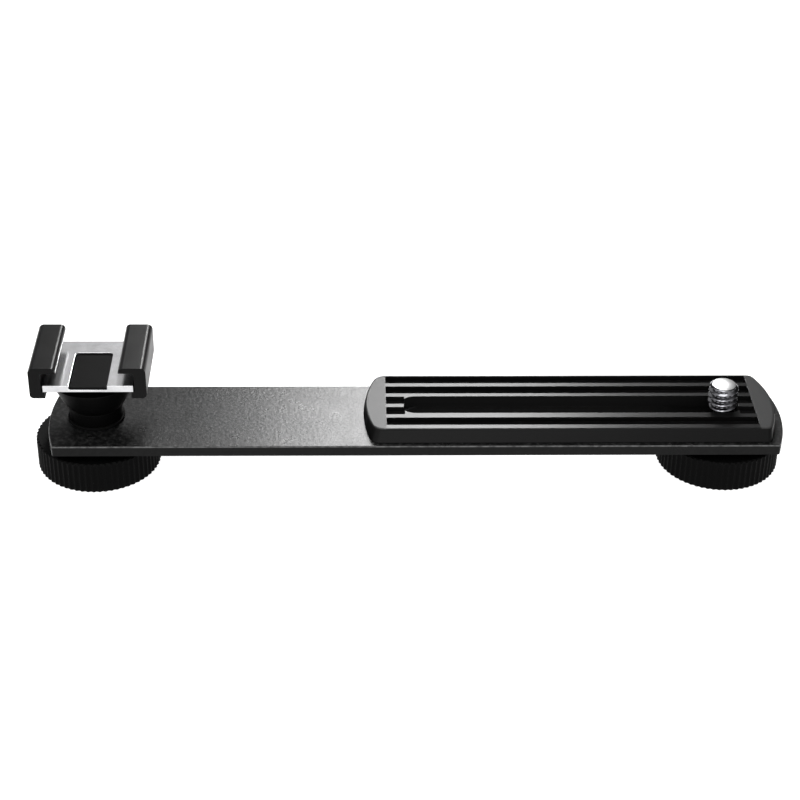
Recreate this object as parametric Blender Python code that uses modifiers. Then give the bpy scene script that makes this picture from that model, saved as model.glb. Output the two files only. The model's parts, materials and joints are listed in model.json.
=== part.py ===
"""Straight flash bracket: a slotted flat bar with a captive camera screw and a swivelling cold shoe.

The bar lies along X and the bracket stands on its two thumb knobs.  The origin is the middle of
the bracket's box at the level of the knobs' undersides, +X points from the shoe to the camera
screw, +Y to the back and +Z up.  The constants below are in millimetres.
"""
import math

import bmesh
import bpy
from mathutils import Vector

MM = 0.001
WELD = 0.00001                  # merge distance, metres
COLLECTION = "straight_flash_bracket"

# --- driving dimensions, millimetres -------------------------------------------------------
KNOB_RADIUS = 13.1
KNOB_HEIGHT = 7.0
KNOB_CHAMFER = 0.45
KNOB_GAP = 1.6                  # knob top to bar underside, where the washers sit
SCREW_X = 66.9                  # camera screw axis at rest
SHOE_X = -66.9                  # shoe bolt axis
JOINT_GAP = 0.3                 # air between pieces that touch

BAR_LEFT = -76.85
BAR_RIGHT = 79.85
BAR_HALF_WIDTH = 11.9
BAR_THICKNESS = 2.3
BAR_END_RADII = (40.0, 33.0)    # left end, right end
BAR_BOTTOM = KNOB_HEIGHT + KNOB_GAP
BAR_TOP = BAR_BOTTOM + BAR_THICKNESS

SHANK_RADIUS = 2.3

PAD_BOTTOM = BAR_TOP + JOINT_GAP
PAD_TOP = BAR_TOP + 2.75
PAD_TOP_BOX = (-9.55, 77.6, -9.45, 11.9)     # left, right, front, back of the top outline
PAD_TOP_RADII = (25.0, 26.0)                 # left end, right end
PAD_BASE_BOX = (-9.95, 78.2, -10.7, 11.9)    # the same for the base, which is a little larger
PAD_BASE_RADII = (38.0, 30.0)
PAD_ARC_Y = 0.5                              # middle of the bowed ends
PAD_CORNERS = (1.8, 0.9)                     # length of a rounded corner: left end, right end
RIB_PITCH = 4.11
RIB_WIDTH = 1.3
MIDDLE_RIB_Y = -0.3
GROOVE_DEPTH = 1.2
GROOVE_LEFT = -5.2
GROOVE_RIGHT = 73.6
SLOT_HALF_WIDTH = 3.3
BAR_SLOT_HALF_WIDTH = 3.5       # the bar's slot is a little wider than the pad's above it
SLOT_LEFT = -1.4
SLOT_RIGHT = 70.4
PAD_SLOT_FLAT = 0.8             # how much of the slot's round end is cut off square
PAD_SCREW_X = (-7.3, 75.9)
PAD_SCREW_Y = 1.1

THREAD_RADIUS = 3.15            # 1/4 inch camera thread over its crests
SCREW_TOP = BAR_TOP + 7.8
THREAD_BOTTOM = BAR_TOP + 2.0
SCREW_BOTTOM = 5.7
SOCKET_RADIUS = 5.0
SOCKET_BORE_RADIUS = 3.15
SOCKET_DEPTH = 4.9

BOLT_RADIUS = 2.5
BOLT_HOLE_RADIUS = BOLT_RADIUS + JOINT_GAP
BOLT_BOTTOM = 2.0
NUT_RADIUS = 5.5
NUT_LOW = 1.4
NUT_HIGH = 5.3
CAP_RADIUS = 8.0

WASHER_RADIUS = 7.5
WASHER_LOW = BAR_BOTTOM - 0.75
WASHER_HIGH = BAR_BOTTOM - 0.25
WAVE_WASHER_RADIUS = 5.5
WAVE_WASHER_LOW = KNOB_HEIGHT + 0.25
WAVE_WASHER_HIGH = KNOB_HEIGHT + 0.6

STEM_WASHER_RADIUS = 6.0
STEM_WASHER_LOW = BAR_TOP + 0.25
STEM_WASHER_HIGH = BAR_TOP + 0.65
COLLAR_RADIUS = 5.65
COLLAR_HIGH = BAR_TOP + 3.65
CONE_LOW = BAR_TOP + 3.9

SHOE_LOW = BAR_TOP + 10.2
SHOE_HIGH = BAR_TOP + 17.4
SHOE_HALF_WIDTH = 12.05
SHOE_HALF_LENGTH = 9.0
WALL_INNER = 9.6
FLANGE_INNER = 6.4
FLANGE_UNDER = BAR_TOP + 16.15
WEB_HIGH = SHOE_LOW + 1.2
WEB_SETBACK = 2.4
LIP_INNER = 8.9
PLATE_LOW = WEB_HIGH + JOINT_GAP
PLATE_HIGH = PLATE_LOW + 1.5
PLATE_HALF_WIDTH = 9.3
POCKET_HALF_WIDTH = 3.95
POCKET_BACK = 4.3
POCKET_FLOOR = PLATE_LOW + 0.55
INSERT_HIGH = PLATE_HIGH - 0.4
HEAD_RADIUS = 3.4
HEAD_LOW = POCKET_FLOOR - 1.0
HEAD_HIGH = POCKET_FLOOR - 0.1

# --- colours: base colour, roughness, metallic ----------------------------------------------
ANODISED = ((0.022, 0.022, 0.023), 0.38, 0.6)
BLACK_PLASTIC = ((0.012, 0.012, 0.012), 0.45, 0.0)
PAD_BLACK = ((0.018, 0.018, 0.018), 0.35, 0.0)
BLACK_RUBBER = ((0.02, 0.02, 0.02), 0.75, 0.0)
CHROME = ((0.78, 0.78, 0.79), 0.12, 1.0)
STEEL = ((0.6, 0.6, 0.61), 0.32, 1.0)
BRASS = ((0.72, 0.53, 0.25), 0.3, 1.0)
NYLON = ((0.72, 0.71, 0.66), 0.5, 0.0)


# --- helpers --------------------------------------------------------------------------------
def clear_scene():
    for obj in list(bpy.data.objects):
        bpy.data.objects.remove(obj, do_unlink=True)


def new_collection(name):
    collection = bpy.data.collections.new(name)
    bpy.context.scene.collection.children.link(collection)
    return collection


def give_material(obj, finish):
    colour, roughness, metallic = finish
    material = bpy.data.materials.new(obj.name + "_material")
    material.use_nodes = True
    shader = material.node_tree.nodes["Principled BSDF"]
    shader.inputs["Base Color"].default_value = (*colour, 1.0)
    shader.inputs["Roughness"].default_value = roughness
    shader.inputs["Metallic"].default_value = metallic
    obj.data.materials.append(material)


def object_from_bmesh(name, bm, collection, x_axis=0.0):
    """New object whose origin is on the vertical axis at x_axis; the mesh is relative to it."""
    mesh = bpy.data.meshes.new(name)
    bm.to_mesh(mesh)
    bm.free()
    obj = bpy.data.objects.new(name, mesh)
    obj.location = (x_axis * MM, 0.0, 0.0)
    collection.objects.link(obj)
    return obj


def arc(centre_x, centre_y, radius, start, end, steps):
    """Points on an arc, angles in degrees."""
    points = []
    for i in range(steps + 1):
        angle = math.radians(start + (end - start) * i / steps)
        points.append((centre_x + radius * math.cos(angle), centre_y + radius * math.sin(angle)))
    return points


def circle(centre_x, centre_y, radius, steps=32):
    return arc(centre_x, centre_y, radius, 0.0, 360.0, steps)[:-1]


def bend(start, corner, end, steps):
    """Points of a rounded corner, without its two ends."""
    points = []
    for i in range(1, steps):
        t = i / steps
        points.append(tuple((1 - t) ** 2 * a + 2 * t * (1 - t) * b + t ** 2 * c
                            for a, b, c in zip(start, corner, end)))
    return points


def bowed_outline(box, radii, middle=0.0, corners=(0.0, 0.0), steps=8):
    """Rectangle (left, right, front, back) whose two short ends bow outwards as arcs of the given
    radii about the line y = middle, with rounded corners."""
    left, right, front, back = box
    outline = []
    for end_x, radius, corner, side in ((right, radii[1], corners[1], 1),
                                        (left, radii[0], corners[0], -1)):
        def point(y):
            bow = radius - math.sqrt(radius ** 2 - (y - middle) ** 2)
            return end_x - side * bow, y

        low, high = front + corner, back - corner
        end = [point(low + (high - low) * i / steps) for i in range(steps + 1)]
        if corner > 0.0:
            (front_x, _), (back_x, _) = point(front), point(back)
            start, finish = (front_x - side * corner, front), (back_x - side * corner, back)
            end = ([start] + bend(start, point(front), end[0], 4) + end
                   + bend(end[-1], point(back), finish, 4) + [finish])
        outline += end if side > 0 else end[::-1]
    return outline


def outline_slab(name, outlines, low, high, collection, x_axis=0.0):
    """Flat piece from a filled 2D curve: the first outline is its edge, the others are holes."""
    curve = bpy.data.curves.new(name, "CURVE")
    curve.dimensions = "2D"
    curve.fill_mode = "BOTH"
    curve.extrude = (high - low) / 2 * MM
    for outline in outlines:
        spline = curve.splines.new("POLY")
        spline.points.add(len(outline) - 1)
        for point, (x, y) in zip(spline.points, outline):
            point.co = (x * MM, y * MM, 0.0, 1.0)
        spline.use_cyclic_u = True
    source = bpy.data.objects.new(name + "_outline", curve)
    collection.objects.link(source)
    bpy.context.view_layer.update()
    evaluated = source.evaluated_get(bpy.context.evaluated_depsgraph_get())
    bm = bmesh.new()
    bm.from_mesh(bpy.data.meshes.new_from_object(evaluated))
    bpy.data.objects.remove(source, do_unlink=True)
    bmesh.ops.remove_doubles(bm, verts=bm.verts, dist=WELD)
    bmesh.ops.translate(bm, verts=bm.verts, vec=(0.0, 0.0, (low + high) / 2 * MM))
    return object_from_bmesh(name, bm, collection, x_axis)


def turned(name, profile, collection, x_axis=0.0, steps=48):
    """Turned piece: (radius, height) points, down the outer side and, for a ring, up its bore."""
    closed = profile[0][0] > 0.0
    bm = bmesh.new()
    verts = [bm.verts.new((radius * MM, 0.0, height * MM)) for radius, height in profile]
    for a, b in zip(verts, verts[1:]):
        bm.edges.new((a, b))
    if closed:
        bm.edges.new((verts[-1], verts[0]))
    obj = object_from_bmesh(name, bm, collection, x_axis)
    screw = obj.modifiers.new("turn", "SCREW")
    screw.axis = "Z"
    screw.angle = math.tau
    screw.steps = steps
    screw.render_steps = steps
    screw.use_merge_vertices = True
    screw.merge_threshold = WELD
    screw.use_smooth_shade = True
    return obj


def ring(name, radius, bore, low, high, collection, x_axis, steps=48):
    return turned(name, [(radius, high), (radius, low), (bore, low), (bore, high)],
                  collection, x_axis, steps)


def boxes(name, corners, collection, x_axis=0.0):
    """One or more separate boxes in one object, each given by its low and high corner."""
    bm = bmesh.new()
    for low, high in corners:
        low, high = Vector(low) * MM, Vector(high) * MM
        made = bmesh.ops.create_cube(bm, size=1.0)["verts"]
        bmesh.ops.scale(bm, vec=high - low, verts=made)
        bmesh.ops.translate(bm, vec=(low + high) / 2, verts=made)
    return object_from_bmesh(name, bm, collection, x_axis)


def cut(obj, cutter):
    """Take the cutter out of the object with a Boolean that stays on it."""
    cutter.hide_render = True
    cutter.display_type = "WIRE"
    modifier = obj.modifiers.new(cutter.name, "BOOLEAN")
    modifier.operation = "DIFFERENCE"
    modifier.solver = "EXACT"
    modifier.object = cutter


# --- the bar and its pad --------------------------------------------------------------------
def round_slot():
    """The bar's slot: round ends."""
    radius = BAR_SLOT_HALF_WIDTH
    return (arc(SLOT_RIGHT - radius, 0.0, radius, -90.0, 90.0, 12)
            + arc(SLOT_LEFT + radius, 0.0, radius, 90.0, 270.0, 12))


def flattened_slot():
    """The pad's slot: round ends with their last fraction of a millimetre cut square."""
    radius = SLOT_HALF_WIDTH
    left = SLOT_LEFT - PAD_SLOT_FLAT + radius
    right = SLOT_RIGHT + PAD_SLOT_FLAT - radius
    sweep = math.degrees(math.acos((radius - PAD_SLOT_FLAT) / radius))
    return (arc(right, 0.0, radius, -90.0, -sweep, 5) + arc(right, 0.0, radius, sweep, 90.0, 5)
            + arc(left, 0.0, radius, 90.0, 180.0 - sweep, 5)
            + arc(left, 0.0, radius, 180.0 + sweep, 270.0, 5))


def make_bar(parts, cutters):
    edge = bowed_outline((BAR_LEFT, BAR_RIGHT, -BAR_HALF_WIDTH, BAR_HALF_WIDTH), BAR_END_RADII,
                         steps=12)
    holes = [round_slot(), circle(SHOE_X, 0.0, BOLT_HOLE_RADIUS)]
    bar = outline_slab("base_bar", [edge] + holes, BAR_BOTTOM, BAR_TOP, parts)
    for side, x in zip(("left", "right"), PAD_SCREW_X):
        cutter = turned("pad_screw_hole_" + side,
                        [(0.0, BAR_TOP + 1.0), (1.3, BAR_TOP + 1.0), (1.3, BAR_BOTTOM + 1.2),
                         (2.5, BAR_BOTTOM), (2.5, BAR_BOTTOM - 1.0), (0.0, BAR_BOTTOM - 1.0)],
                        cutters, x, 24)
        cutter.location.y = PAD_SCREW_Y * MM
        cut(bar, cutter)
    give_material(bar, ANODISED)
    return bar


def groove_boxes():
    """Grooves between the ribs; the two beside the middle rib stop at the slot's ends."""
    low_z, high_z = PAD_TOP - GROOVE_DEPTH, PAD_TOP + 1.0
    corners = []
    for index in range(-2, 3):
        low_y = MIDDLE_RIB_Y + index * RIB_PITCH + RIB_WIDTH / 2
        high_y = low_y + RIB_PITCH - RIB_WIDTH
        spans = [(GROOVE_LEFT, GROOVE_RIGHT)]
        if index in (-1, 0):
            spans = [(GROOVE_LEFT, SLOT_LEFT + 0.15), (SLOT_RIGHT - 0.15, GROOVE_RIGHT)]
        for left, right in spans:
            corners.append(((left, low_y, low_z), (right, high_y, high_z)))
    return corners


def make_pad(parts, cutters):
    base = bowed_outline(PAD_BASE_BOX, PAD_BASE_RADII, PAD_ARC_Y, PAD_CORNERS)
    top = bowed_outline(PAD_TOP_BOX, PAD_TOP_RADII, PAD_ARC_Y, PAD_CORNERS)
    bm = bmesh.new()
    base_verts = [bm.verts.new((x * MM, y * MM, PAD_BOTTOM * MM)) for x, y in base]
    top_verts = [bm.verts.new((x * MM, y * MM, PAD_TOP * MM)) for x, y in top]
    bm.faces.new(reversed(base_verts))
    bm.faces.new(top_verts)
    for i in range(len(base)):
        j = (i + 1) % len(base)
        bm.faces.new((base_verts[i], base_verts[j], top_verts[j], top_verts[i]))
    pad = object_from_bmesh("ribbed_pad", bm, parts)
    cut(pad, boxes("pad_grooves", groove_boxes(), cutters))
    cut(pad, outline_slab("pad_slot", [flattened_slot()], PAD_BOTTOM - 1.0, PAD_TOP + 1.0, cutters))
    for side, x in zip(("left", "right"), PAD_SCREW_X):
        hole = turned("pad_pilot_hole_" + side,
                      [(0.0, PAD_TOP - 0.5), (1.3, PAD_TOP - 0.5), (1.3, PAD_BOTTOM - 1.0),
                       (0.0, PAD_BOTTOM - 1.0)], cutters, x, 24)
        hole.location.y = PAD_SCREW_Y * MM
        cut(pad, hole)
    give_material(pad, PAD_BLACK)
    return pad


def make_pad_screws(parts):
    """Two small countersunk screws hold the pad from below."""
    for side, x in zip(("left", "right"), PAD_SCREW_X):
        screw = turned("pad_screw_" + side,
                       [(0.0, PAD_TOP - 0.8), (1.0, PAD_TOP - 0.8), (1.0, BAR_BOTTOM + 1.1),
                        (2.0, BAR_BOTTOM + 0.1), (0.0, BAR_BOTTOM + 0.1)], parts, x, 24)
        screw.location.y = PAD_SCREW_Y * MM
        give_material(screw, STEEL)


# --- the camera screw and its knob ----------------------------------------------------------
def knob_outside():
    """Outer side of a thumb knob, from the top face down to the bottom face."""
    rim = KNOB_RADIUS - KNOB_CHAMFER
    return [(rim, KNOB_HEIGHT), (KNOB_RADIUS, KNOB_HEIGHT - KNOB_CHAMFER),
            (KNOB_RADIUS, KNOB_CHAMFER), (rim, 0.0)]


def make_camera_screw(parts):
    screw = turned("camera_screw",
                   [(0.0, SCREW_TOP), (2.5, SCREW_TOP), (THREAD_RADIUS, SCREW_TOP - 0.6),
                    (THREAD_RADIUS, THREAD_BOTTOM), (SHANK_RADIUS, THREAD_BOTTOM),
                    (SHANK_RADIUS, SCREW_BOTTOM), (0.0, SCREW_BOTTOM)], parts, SCREW_X, 32)
    give_material(screw, CHROME)

    bore = SOCKET_RADIUS + JOINT_GAP
    knob = turned("camera_knob", knob_outside() + [(bore, 0.0), (bore, KNOB_HEIGHT)],
                  parts, SCREW_X, 64)
    give_material(knob, BLACK_PLASTIC)

    stud_bore = SHANK_RADIUS + JOINT_GAP
    low, high = 0.2, KNOB_HEIGHT - 0.2
    socket = turned("camera_socket",
                    [(0.0, SCREW_BOTTOM - JOINT_GAP), (stud_bore, SCREW_BOTTOM - JOINT_GAP),
                     (stud_bore, high), (SOCKET_RADIUS, high), (SOCKET_RADIUS, low),
                     (SOCKET_BORE_RADIUS, low), (SOCKET_BORE_RADIUS, SOCKET_DEPTH),
                     (0.0, SOCKET_DEPTH)], parts, SCREW_X, 32)
    give_material(socket, BRASS)

    washer = ring("camera_washer", WASHER_RADIUS, stud_bore, WASHER_LOW, WASHER_HIGH,
                  parts, SCREW_X)
    give_material(washer, NYLON)
    wave = ring("camera_wave_washer", WAVE_WASHER_RADIUS, stud_bore, WAVE_WASHER_LOW,
                WAVE_WASHER_HIGH, parts, SCREW_X)
    give_material(wave, STEEL)


# --- the cold shoe, its stem and its knob -----------------------------------------------------
def make_shoe_knob(parts, cutters):
    cap_bore = CAP_RADIUS + JOINT_GAP
    knob = turned("shoe_knob", knob_outside()
                  + [(cap_bore, 0.0), (cap_bore, 1.0), (NUT_RADIUS + JOINT_GAP, 1.0),
                     (NUT_RADIUS + JOINT_GAP, 5.6), (BOLT_HOLE_RADIUS, 5.6),
                     (BOLT_HOLE_RADIUS, KNOB_HEIGHT)], parts, SHOE_X, 64)
    give_material(knob, BLACK_PLASTIC)

    cap = turned("shoe_knob_cap", [(0.0, 0.7), (CAP_RADIUS, 0.7), (CAP_RADIUS, 0.1), (0.0, 0.1)],
                 parts, SHOE_X)
    give_material(cap, BLACK_PLASTIC)

    bm = bmesh.new()
    bmesh.ops.create_cone(bm, cap_ends=True, segments=6, radius1=NUT_RADIUS * MM,
                          radius2=NUT_RADIUS * MM, depth=(NUT_HIGH - NUT_LOW) * MM)
    bmesh.ops.translate(bm, verts=bm.verts, vec=(0.0, 0.0, (NUT_HIGH + NUT_LOW) / 2 * MM))
    nut = object_from_bmesh("shoe_nut", bm, parts, SHOE_X)
    cut(nut, turned("nut_bore", [(0.0, NUT_HIGH + 1.0), (BOLT_HOLE_RADIUS, NUT_HIGH + 1.0),
                                 (BOLT_HOLE_RADIUS, NUT_LOW - 1.0), (0.0, NUT_LOW - 1.0)],
                    cutters, SHOE_X, 32))
    give_material(nut, STEEL)

    washer = ring("shoe_washer", WASHER_RADIUS, BOLT_HOLE_RADIUS, WASHER_LOW, WASHER_HIGH,
                  parts, SHOE_X)
    give_material(washer, NYLON)
    wave = ring("shoe_wave_washer", WAVE_WASHER_RADIUS, BOLT_HOLE_RADIUS, WAVE_WASHER_LOW,
                WAVE_WASHER_HIGH, parts, SHOE_X)
    give_material(wave, STEEL)


def make_stem(parts):
    bolt = turned("shoe_bolt",
                  [(0.0, HEAD_HIGH), (HEAD_RADIUS, HEAD_HIGH), (BOLT_RADIUS, HEAD_LOW),
                   (BOLT_RADIUS, BOLT_BOTTOM), (0.0, BOLT_BOTTOM)], parts, SHOE_X, 32)
    give_material(bolt, STEEL)

    washer = ring("stem_washer", STEM_WASHER_RADIUS, BOLT_HOLE_RADIUS, STEM_WASHER_LOW,
                  STEM_WASHER_HIGH, parts, SHOE_X)
    give_material(washer, BLACK_RUBBER)

    collar = ring("stem_collar", COLLAR_RADIUS, BOLT_HOLE_RADIUS, STEM_WASHER_HIGH + 0.2,
                  COLLAR_HIGH, parts, SHOE_X)
    give_material(collar, BLACK_PLASTIC)

    cone_top = SHOE_LOW - JOINT_GAP
    cone = turned("stem_cone",
                  [(9.2, cone_top), (6.85, CONE_LOW + 1.5), (6.4, CONE_LOW + 0.7),
                   (5.5, CONE_LOW), (BOLT_HOLE_RADIUS, CONE_LOW), (BOLT_HOLE_RADIUS, cone_top)],
                  parts, SHOE_X)
    give_material(cone, BLACK_PLASTIC)


def shoe_section():
    """Cross-section of the shoe: a floor web, two walls with a low lip, and two top flanges."""
    right = [(SHOE_HALF_WIDTH, SHOE_LOW), (SHOE_HALF_WIDTH, SHOE_HIGH), (FLANGE_INNER, SHOE_HIGH),
             (FLANGE_INNER, FLANGE_UNDER), (WALL_INNER, FLANGE_UNDER), (WALL_INNER, WEB_HIGH)]
    return right + [(-x, z) for x, z in reversed(right)]


def make_shoe(parts, cutters):
    body = outline_slab("shoe_body", [shoe_section()], -SHOE_HALF_LENGTH, SHOE_HALF_LENGTH, parts)
    for vert in body.data.vertices:
        x, z, along = vert.co
        vert.co = (x, -along, z)
    body.location.x = SHOE_X * MM
    front = -SHOE_HALF_LENGTH
    cut(body, boxes("web_setback",
                    [((-LIP_INNER, front - 1.0, SHOE_LOW - 1.0),
                      (LIP_INNER, front + WEB_SETBACK, WEB_HIGH + 0.1))], cutters, SHOE_X))
    bolt_clearance = [(0.0, PLATE_HIGH), (HEAD_RADIUS + JOINT_GAP, PLATE_HIGH),
                      (HEAD_RADIUS + JOINT_GAP, HEAD_HIGH), (BOLT_HOLE_RADIUS, HEAD_LOW),
                      (BOLT_HOLE_RADIUS, SHOE_LOW - 1.0), (0.0, SHOE_LOW - 1.0)]
    clearance = turned("bolt_clearance", bolt_clearance, cutters, SHOE_X, 32)
    cut(body, clearance)
    give_material(body, BLACK_PLASTIC)

    plate = boxes("shoe_plate", [((-PLATE_HALF_WIDTH, -SHOE_HALF_LENGTH, PLATE_LOW),
                                  (PLATE_HALF_WIDTH, SHOE_HALF_LENGTH, PLATE_HIGH))], parts, SHOE_X)
    cut(plate, boxes("insert_pocket", [((-POCKET_HALF_WIDTH, front - 1.0, POCKET_FLOOR),
                                        (POCKET_HALF_WIDTH, POCKET_BACK, PLATE_HIGH + 1.0))],
                     cutters, SHOE_X))
    cut(plate, clearance)
    give_material(plate, STEEL)

    inset = 0.25
    insert = boxes("shoe_insert", [((inset - POCKET_HALF_WIDTH, front, POCKET_FLOOR + 0.2),
                                    (POCKET_HALF_WIDTH - inset, POCKET_BACK - inset, INSERT_HIGH))],
                   parts, SHOE_X)
    give_material(insert, BLACK_PLASTIC)


def main():
    clear_scene()
    parts = new_collection(COLLECTION)
    cutters = new_collection("cutters")
    make_bar(parts, cutters)
    make_pad(parts, cutters)
    make_pad_screws(parts)
    make_camera_screw(parts)
    make_shoe_knob(parts, cutters)
    make_stem(parts)
    make_shoe(parts, cutters)
    for obj in parts.objects:
        if not obj.modifiers:
            continue
        obj.data.shade_smooth()
        obj.data.set_sharp_from_angle(angle=math.radians(30.0))


main()
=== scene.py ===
"""Looks of the straight flash bracket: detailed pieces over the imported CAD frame.

Lengths of the object are millimetres in the frame's axes (+X from the cold shoe to the camera
screw, +Y to the back, +Z up); MM turns them into metres where a mesh, a texture or the camera is
made. The floor, the wall behind it and the lights are given in metres.
"""
import json
import math

import bmesh
import bpy
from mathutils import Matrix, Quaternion, Vector


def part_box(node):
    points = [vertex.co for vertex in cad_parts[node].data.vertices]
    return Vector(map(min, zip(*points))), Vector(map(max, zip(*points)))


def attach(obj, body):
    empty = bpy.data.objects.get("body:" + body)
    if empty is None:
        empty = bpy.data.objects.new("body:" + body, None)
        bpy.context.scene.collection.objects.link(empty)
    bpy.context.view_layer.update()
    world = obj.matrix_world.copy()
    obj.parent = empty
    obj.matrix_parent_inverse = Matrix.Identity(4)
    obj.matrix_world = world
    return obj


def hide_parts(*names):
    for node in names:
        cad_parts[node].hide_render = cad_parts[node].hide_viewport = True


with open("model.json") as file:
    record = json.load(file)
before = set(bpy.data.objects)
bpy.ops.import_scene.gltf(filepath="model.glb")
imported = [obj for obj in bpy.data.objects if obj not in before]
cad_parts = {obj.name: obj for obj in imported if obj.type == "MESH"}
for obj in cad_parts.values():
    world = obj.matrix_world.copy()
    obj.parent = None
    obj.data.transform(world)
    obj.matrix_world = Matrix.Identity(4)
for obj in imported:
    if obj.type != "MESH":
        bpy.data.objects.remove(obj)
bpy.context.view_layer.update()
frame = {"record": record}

MM = 0.001
WELD = 0.000002                 # merge distance, metres
SEAT = 0.03                     # air left between pieces that sit on each other
SHARP_EDGE = 35.0               # degrees between two faces from which an edge gets rounded
THREAD_PITCH = 1.27             # 1/4 inch-20
THREAD_DEPTH = 0.7
THREAD_CREST_FLAT = 0.12        # shares of half a pitch: flat crest, then straight flank
THREAD_FLANK = 0.7
KNOB_TEETH = 64
TOOTH_DEPTH = 0.26
KNOB_DISH_RADIUS = 7.6          # shallow dish in a knob's top, under the washers
KNOB_DISH_DEPTH = 0.2
NUT_RECESS_RADIUS = 5.8         # the round recess in the shoe knob that holds the nut
NUT_RECESS_TOP = 5.6

record = frame["record"]
BODY_OF = {node: body for body, nodes in record["behaviour"]["bodies"].items() for node in nodes}


def limits(node):
    """Low and high corner of a CAD node, millimetres."""
    low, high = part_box(node)
    return Vector(low) / MM, Vector(high) / MM


def axis_of(node):
    """Middle of a CAD node's box, seen from above."""
    low, high = limits(node)
    return (low.x + high.x) / 2, (low.y + high.y) / 2


BAR_LOW, BAR_HIGH = limits("base_bar")
PAD_LOW, PAD_HIGH = limits("ribbed_pad")
SHOE_LOW, SHOE_HIGH = limits("shoe_body")
SHOE_X = axis_of("shoe_knob")[0]
SCREW_X = axis_of("camera_screw")[0]


# --- outlines and profiles -----------------------------------------------------------------
def arc(centre_x, centre_y, radius, start, end, steps):
    """Points on an arc, angles in degrees."""
    points = []
    for i in range(steps + 1):
        angle = math.radians(start + (end - start) * i / steps)
        points.append((centre_x + radius * math.cos(angle), centre_y + radius * math.sin(angle)))
    return points


def circle(centre_x, centre_y, radius, steps=64):
    """Points on a closed circle."""
    return arc(centre_x, centre_y, radius, 0.0, 360.0, steps)[:-1]


def bend(start, corner, end, steps=8):
    """Points of a rounded corner, without its two ends."""
    points = []
    for i in range(1, steps):
        t = i / steps
        points.append(tuple((1 - t) ** 2 * a + 2 * t * (1 - t) * b + t ** 2 * c
                            for a, b, c in zip(start, corner, end)))
    return points


def bowed_outline(box, radii, middle, corners, steps=28):
    """Rectangle (left, right, front, back) whose two short ends bow outwards as arcs of the given
    radii about the line y = middle, with rounded corners."""
    left, right, front, back = box
    outline = []
    for end_x, radius, corner, side in ((right, radii[1], corners[1], 1),
                                        (left, radii[0], corners[0], -1)):
        def point(y):
            bow = radius - math.sqrt(radius ** 2 - (y - middle) ** 2)
            return end_x - side * bow, y

        low, high = front + corner, back - corner
        end = [point(low + (high - low) * i / steps) for i in range(steps + 1)]
        start = (point(front)[0] - side * corner, front)
        finish = (point(back)[0] - side * corner, back)
        end = ([start] + bend(start, point(front), end[0]) + end
               + bend(end[-1], point(back), finish) + [finish])
        outline += end if side > 0 else end[::-1]
    return outline


def rounded(points, closed=True, steps=5):
    """Polyline whose corners become arcs: each point is (a, b) or (a, b, corner radius)."""
    result = []
    count = len(points)
    for i, point in enumerate(points):
        corner = Vector(point[:2])
        radius = point[2] if len(point) > 2 else 0.0
        at_end = not closed and i in (0, count - 1)
        if radius <= 0.0 or at_end:
            result.append(tuple(corner))
            continue
        before = Vector(points[i - 1][:2]) - corner
        after = Vector(points[(i + 1) % count][:2]) - corner
        half_angle = before.angle(after) / 2
        reach = min(radius / math.tan(half_angle), 0.48 * before.length, 0.48 * after.length)
        before.normalize()
        after.normalize()
        radius = reach * math.tan(half_angle)
        centre = corner + (before + after).normalized() * radius / math.sin(half_angle)
        start = corner + before * reach - centre
        turn = start.angle_signed(corner + after * reach - centre)
        for k in range(steps + 1):
            angle = -turn * k / steps
            spoke = Vector((start.x * math.cos(angle) - start.y * math.sin(angle),
                            start.x * math.sin(angle) + start.y * math.cos(angle)))
            result.append(tuple(centre + spoke))
    return result


# --- meshes --------------------------------------------------------------------------------
def mesh_object(name, bm):
    """Object from a bmesh, with its faces turned outwards."""
    mesh = bpy.data.meshes.new(name)
    bmesh.ops.recalc_face_normals(bm, faces=bm.faces)
    bm.to_mesh(mesh)
    bm.free()
    obj = bpy.data.objects.new(name, mesh)
    bpy.context.scene.collection.objects.link(obj)
    return obj


def skin(name, rows, ring=False):
    """Closed body through rows of points around an axis; a row of one point is a pole."""
    bm = bmesh.new()
    loops = [[bm.verts.new(Vector(point) * MM) for point in row] for row in rows]
    pairs = list(zip(loops, loops[1:]))
    if ring:
        pairs.append((loops[-1], loops[0]))
    for low, high in pairs:
        count = max(len(low), len(high))
        for i in range(count):
            j = (i + 1) % count
            corners = (low[i % len(low)], low[j % len(low)], high[j % len(high)], high[i % len(high)])
            bm.faces.new(list(dict.fromkeys(corners)))
    return mesh_object(name, bm)


def turned(name, profile, centre, segments=96, steps=5, reshape=None):
    """Turned piece from (radius, height, corner radius) points; reshape(radius, height, angle)
    may change a radius around the axis."""
    ring = profile[0][0] > 0.0
    rows = []
    for radius, height in rounded(profile, closed=ring, steps=steps):
        if radius < 1e-6:
            rows.append([(centre[0], centre[1], height)])
            continue
        row = []
        for i in range(segments):
            angle = math.tau * i / segments
            r = reshape(radius, height, angle) if reshape else radius
            row.append((centre[0] + r * math.cos(angle), centre[1] + r * math.sin(angle), height))
        rows.append(row)
    return skin(name, rows, ring)


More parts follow.
